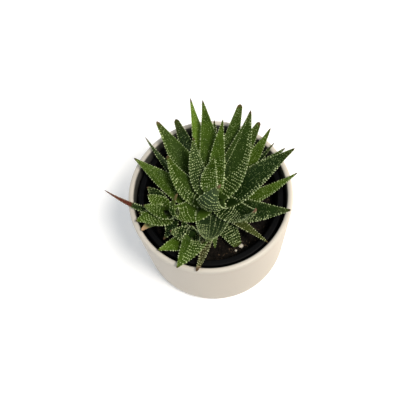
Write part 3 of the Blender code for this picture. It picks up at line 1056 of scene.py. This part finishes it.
def tooth_points(shape, rng, line, step):
    """A row of teeth along the leaf at one place across it."""
    rows = []
    count = int(shape.length * 0.92 / step)
    for k in range(count):
        share = 0.06 + 0.92 * (k + rng.uniform(-0.25, 0.25)) / count
        rows.append((share, line, 0.5, rng.uniform(0.36, 0.54) * (1.15 - 0.6 * share),
                     rng.uniform(0.9, 1.3), rng.uniform(0.45, 1.0)))
    return rows


def leaf_marks(shape, rng):
    """Every wart, dot and tooth of a leaf, as arrays by name."""
    warts = band_points(shape, rng, 1.0, banded(0.0)) + dot_points(shape, rng)
    if shape.habit["ridged"]:
        warts += band_points(shape, rng, 0.0, shape.habit["ridged"])
    teeth = []
    for edge_line in (-1.0, 1.0):
        teeth += tooth_points(shape, rng, edge_line, TOOTH_STEP)
    streaks = []
    for line in shape.habit["seams"]:
        for row in tooth_points(shape, rng, line, SEAM_STEP):
            if line > 0.3 and shape.habit["ridged"]:
                line = spread(shape.habit["ridged"], row[0]) - 0.04
            streaks.append((row[0], line, 0.0, row[3] * 0.8, 1.5,
                            row[5] * (0.85 - shape.habit["faint"])))
    share, spot, under, reach, stretch, bright = np.array(warts + streaks + teeth).T
    lengthwise = np.arange(share.size) >= len(warts)
    edge = np.arange(share.size) >= len(warts) + len(streaks)
    share = np.clip(share, 0.01, 0.985)
    along, across, lift = shape.axes(share)
    outward = across * np.sign(spot)[:, None] - lift * 0.1
    up = shape.facing(share, np.clip(spot, -0.93, 0.93), under)
    edge_column = edge[:, None]
    return {
        "place": shape.face(share, spot, under) - edge_column * lift * 0.12,
        "kind": np.where(edge, 2.0, 1.0),
        "up": np.where(edge_column, outward, up),
        "across": np.where(lengthwise[:, None], along, across),
        "reach": reach * MM,
        "stretch": stretch,
        "along": share,
        "bright": bright,
    }


def make_leaf(row, plant, tree, index, node):
    """One leaf: its skin, then the warts and teeth that the tree grows on it."""
    shape = LeafShape(row, plant)
    habit = shape.habit
    stations, rings, hollow, rim = leaf_rings(shape)
    count = rings.shape[1]
    verts = rings.reshape(-1, 3)
    body = len(verts)
    faces = []
    for start in range(0, body - count, count):
        for k in range(count):
            n = (k + 1) % count
            faces.append((start + k, start + n, start + count + n, start + count + k))
    faces.append(tuple(reversed(range(count))))
    faces.append(tuple(range(body - count, body)))
    dry = row[0] in DRY_LEAVES
    marks = None if dry else leaf_marks(shape, random.Random(100 + index))
    if marks:
        verts = np.concatenate([verts, marks["place"]])
    loose = len(verts) - body
    mesh = bpy.data.meshes.new("leaf")
    mesh.from_pydata([Vector(v) * MM for v in verts], [], faces)

    def with_marks(name, on_body):
        """Numbers for the leaf's own points, then for its warts and teeth."""
        return np.concatenate([on_body, marks[name] if marks else on_body[:0]])

    share = with_marks("along", np.repeat(stations, count))
    uneven = np.array([noise.noise(Vector(v) * 0.25) for v in verts])
    start = habit["dried"]
    plain = {
        "along": share,
        "dried": eased(share + uneven * 0.05, start - 0.04, min(1.12, start + 0.03)),
        "hollow": np.concatenate([np.tile(hollow, len(rings)), np.zeros(loose)]),
        "rim": np.concatenate([np.tile(rim, len(rings)), np.zeros(loose)]),
    }
    for name in ("kind", "reach", "stretch", "bright"):
        plain[name] = with_marks(name, np.zeros(body))
    for name in ("ruddy", "light", "tan", "grey"):
        plain[name] = np.full(len(verts), habit[name])
    for name in ("up", "across"):
        plain[name] = with_marks(name, np.zeros((body, 3)))
    for name, values in plain.items():
        point_attribute(mesh, name, values)
    skin = DRY_LEAVES.get(row[0], "leaf_skin")
    leaf = put_mesh("leaf_blank", mesh, skin)
    if marks:
        run_tree(leaf, tree, {
            "Wart height": 0.75, "Tooth length": 1.4, "Unevenness": 0.25,
            "Seed": index, "Wart finish": FINISHES["white_wart"],
            "Tooth finish": FINISHES["edge_tooth"]})
    leaf = settled(leaf, "grown_leaf_" + row[0])
    for spare in ("kind", "up", "across", "reach", "stretch"):
        leaf.data.attributes.remove(leaf.data.attributes[spare])
    hand_over(leaf, node)


# ---- putting it together ----

def make_floor():
    mesh = bpy.data.meshes.new("floor")
    size = 3.0
    mesh.from_pydata([(-size, -size, 0), (size, -size, 0), (size, size, 0),
                      (-size, size, 0)], [], [(0, 1, 2, 3)])
    floor = placed("floor", mesh)
    material = bpy.data.materials.new("floor")
    material.use_nodes = True
    surface = material.node_tree.nodes["Principled BSDF"]
    for key, value in (("Base Color", (0.96, 0.96, 0.96, 1.0)), ("Roughness", 0.9),
                       ("Emission Color", (1.0, 1.0, 1.0, 1.0)),
                       ("Emission Strength", 0.13)):
        surface.inputs[key].default_value = value
    mesh.materials.append(material)


def aim(obj, target, roll=0.0):
    direction = Vector(target) - obj.location
    turn = direction.to_track_quat("-Z", "Y").to_matrix()
    obj.rotation_euler = (turn @ Matrix.Rotation(roll, 3, "Z")).to_euler()


def make_lights():
    for name, place, power, size, colour in (
            ("key", (0.34, -0.33, 1.08), 9.9, 0.28, (1.0, 0.95, 0.88)),
            ("side", (0.80, 0.14, 0.34), 4.6, 0.50, (1.0, 0.91, 0.77)),
            ("fill", (-0.70, -0.30, 0.8), 1.7, 0.9, (0.80, 0.91, 1.0)),
            ("back", (-0.30, 0.90, 0.50), 2.0, 0.9, (0.90, 0.95, 1.0))):
        lamp = bpy.data.lights.new(name, "AREA")
        lamp.energy = power
        lamp.shape = "DISK"
        lamp.size = size
        lamp.color = colour
        obj = placed(name, lamp)
        obj.location = place
        aim(obj, (0, 0, 0.08))
    world = bpy.data.worlds.new("studio")
    world.use_nodes = True
    sky = world.node_tree.nodes["Background"]
    sky.inputs["Color"].default_value = (0.93, 0.96, 1.0, 1.0)
    sky.inputs["Strength"].default_value = 0.36
    bpy.context.scene.world = world


def make_camera():
    """Looks steeply down from the front, turned a little."""
    camera = bpy.data.cameras.new("camera")
    camera.lens = 46.7
    camera.sensor_width = 36.0
    obj = placed("camera", camera)
    obj.location = (0.0, -0.1494, 0.4584)
    aim(obj, (-0.003, -0.0002, 0.066), math.radians(-7.6))
    bpy.context.scene.camera = obj


bpy.context.scene.view_settings.view_transform = "Standard"
make_camera()
make_lights()
make_floor()
make_cover_pot()
make_nursery_pot()
make_soil()
for number, (x, y, radius) in enumerate(
        ((18.0, -37.0, 1.8), (14.0, -40.0, 0.9), (38.0, -18.0, 1.1)), start=1):
    make_grain(number, x, y, radius)
for plant in STEMS:
    make_stem(plant)
dotting = dotting_tree()
seed = itertools.count()
for plant, rows in LEAVES.items():
    for row in rows:
        make_leaf(row, plant, dotting, next(seed), "leaf_" + row[0])
for plant, row in BUDS.items():
    make_leaf(row, plant, dotting, next(seed), "stem_" + plant)

bpy.context.view_layer.update()
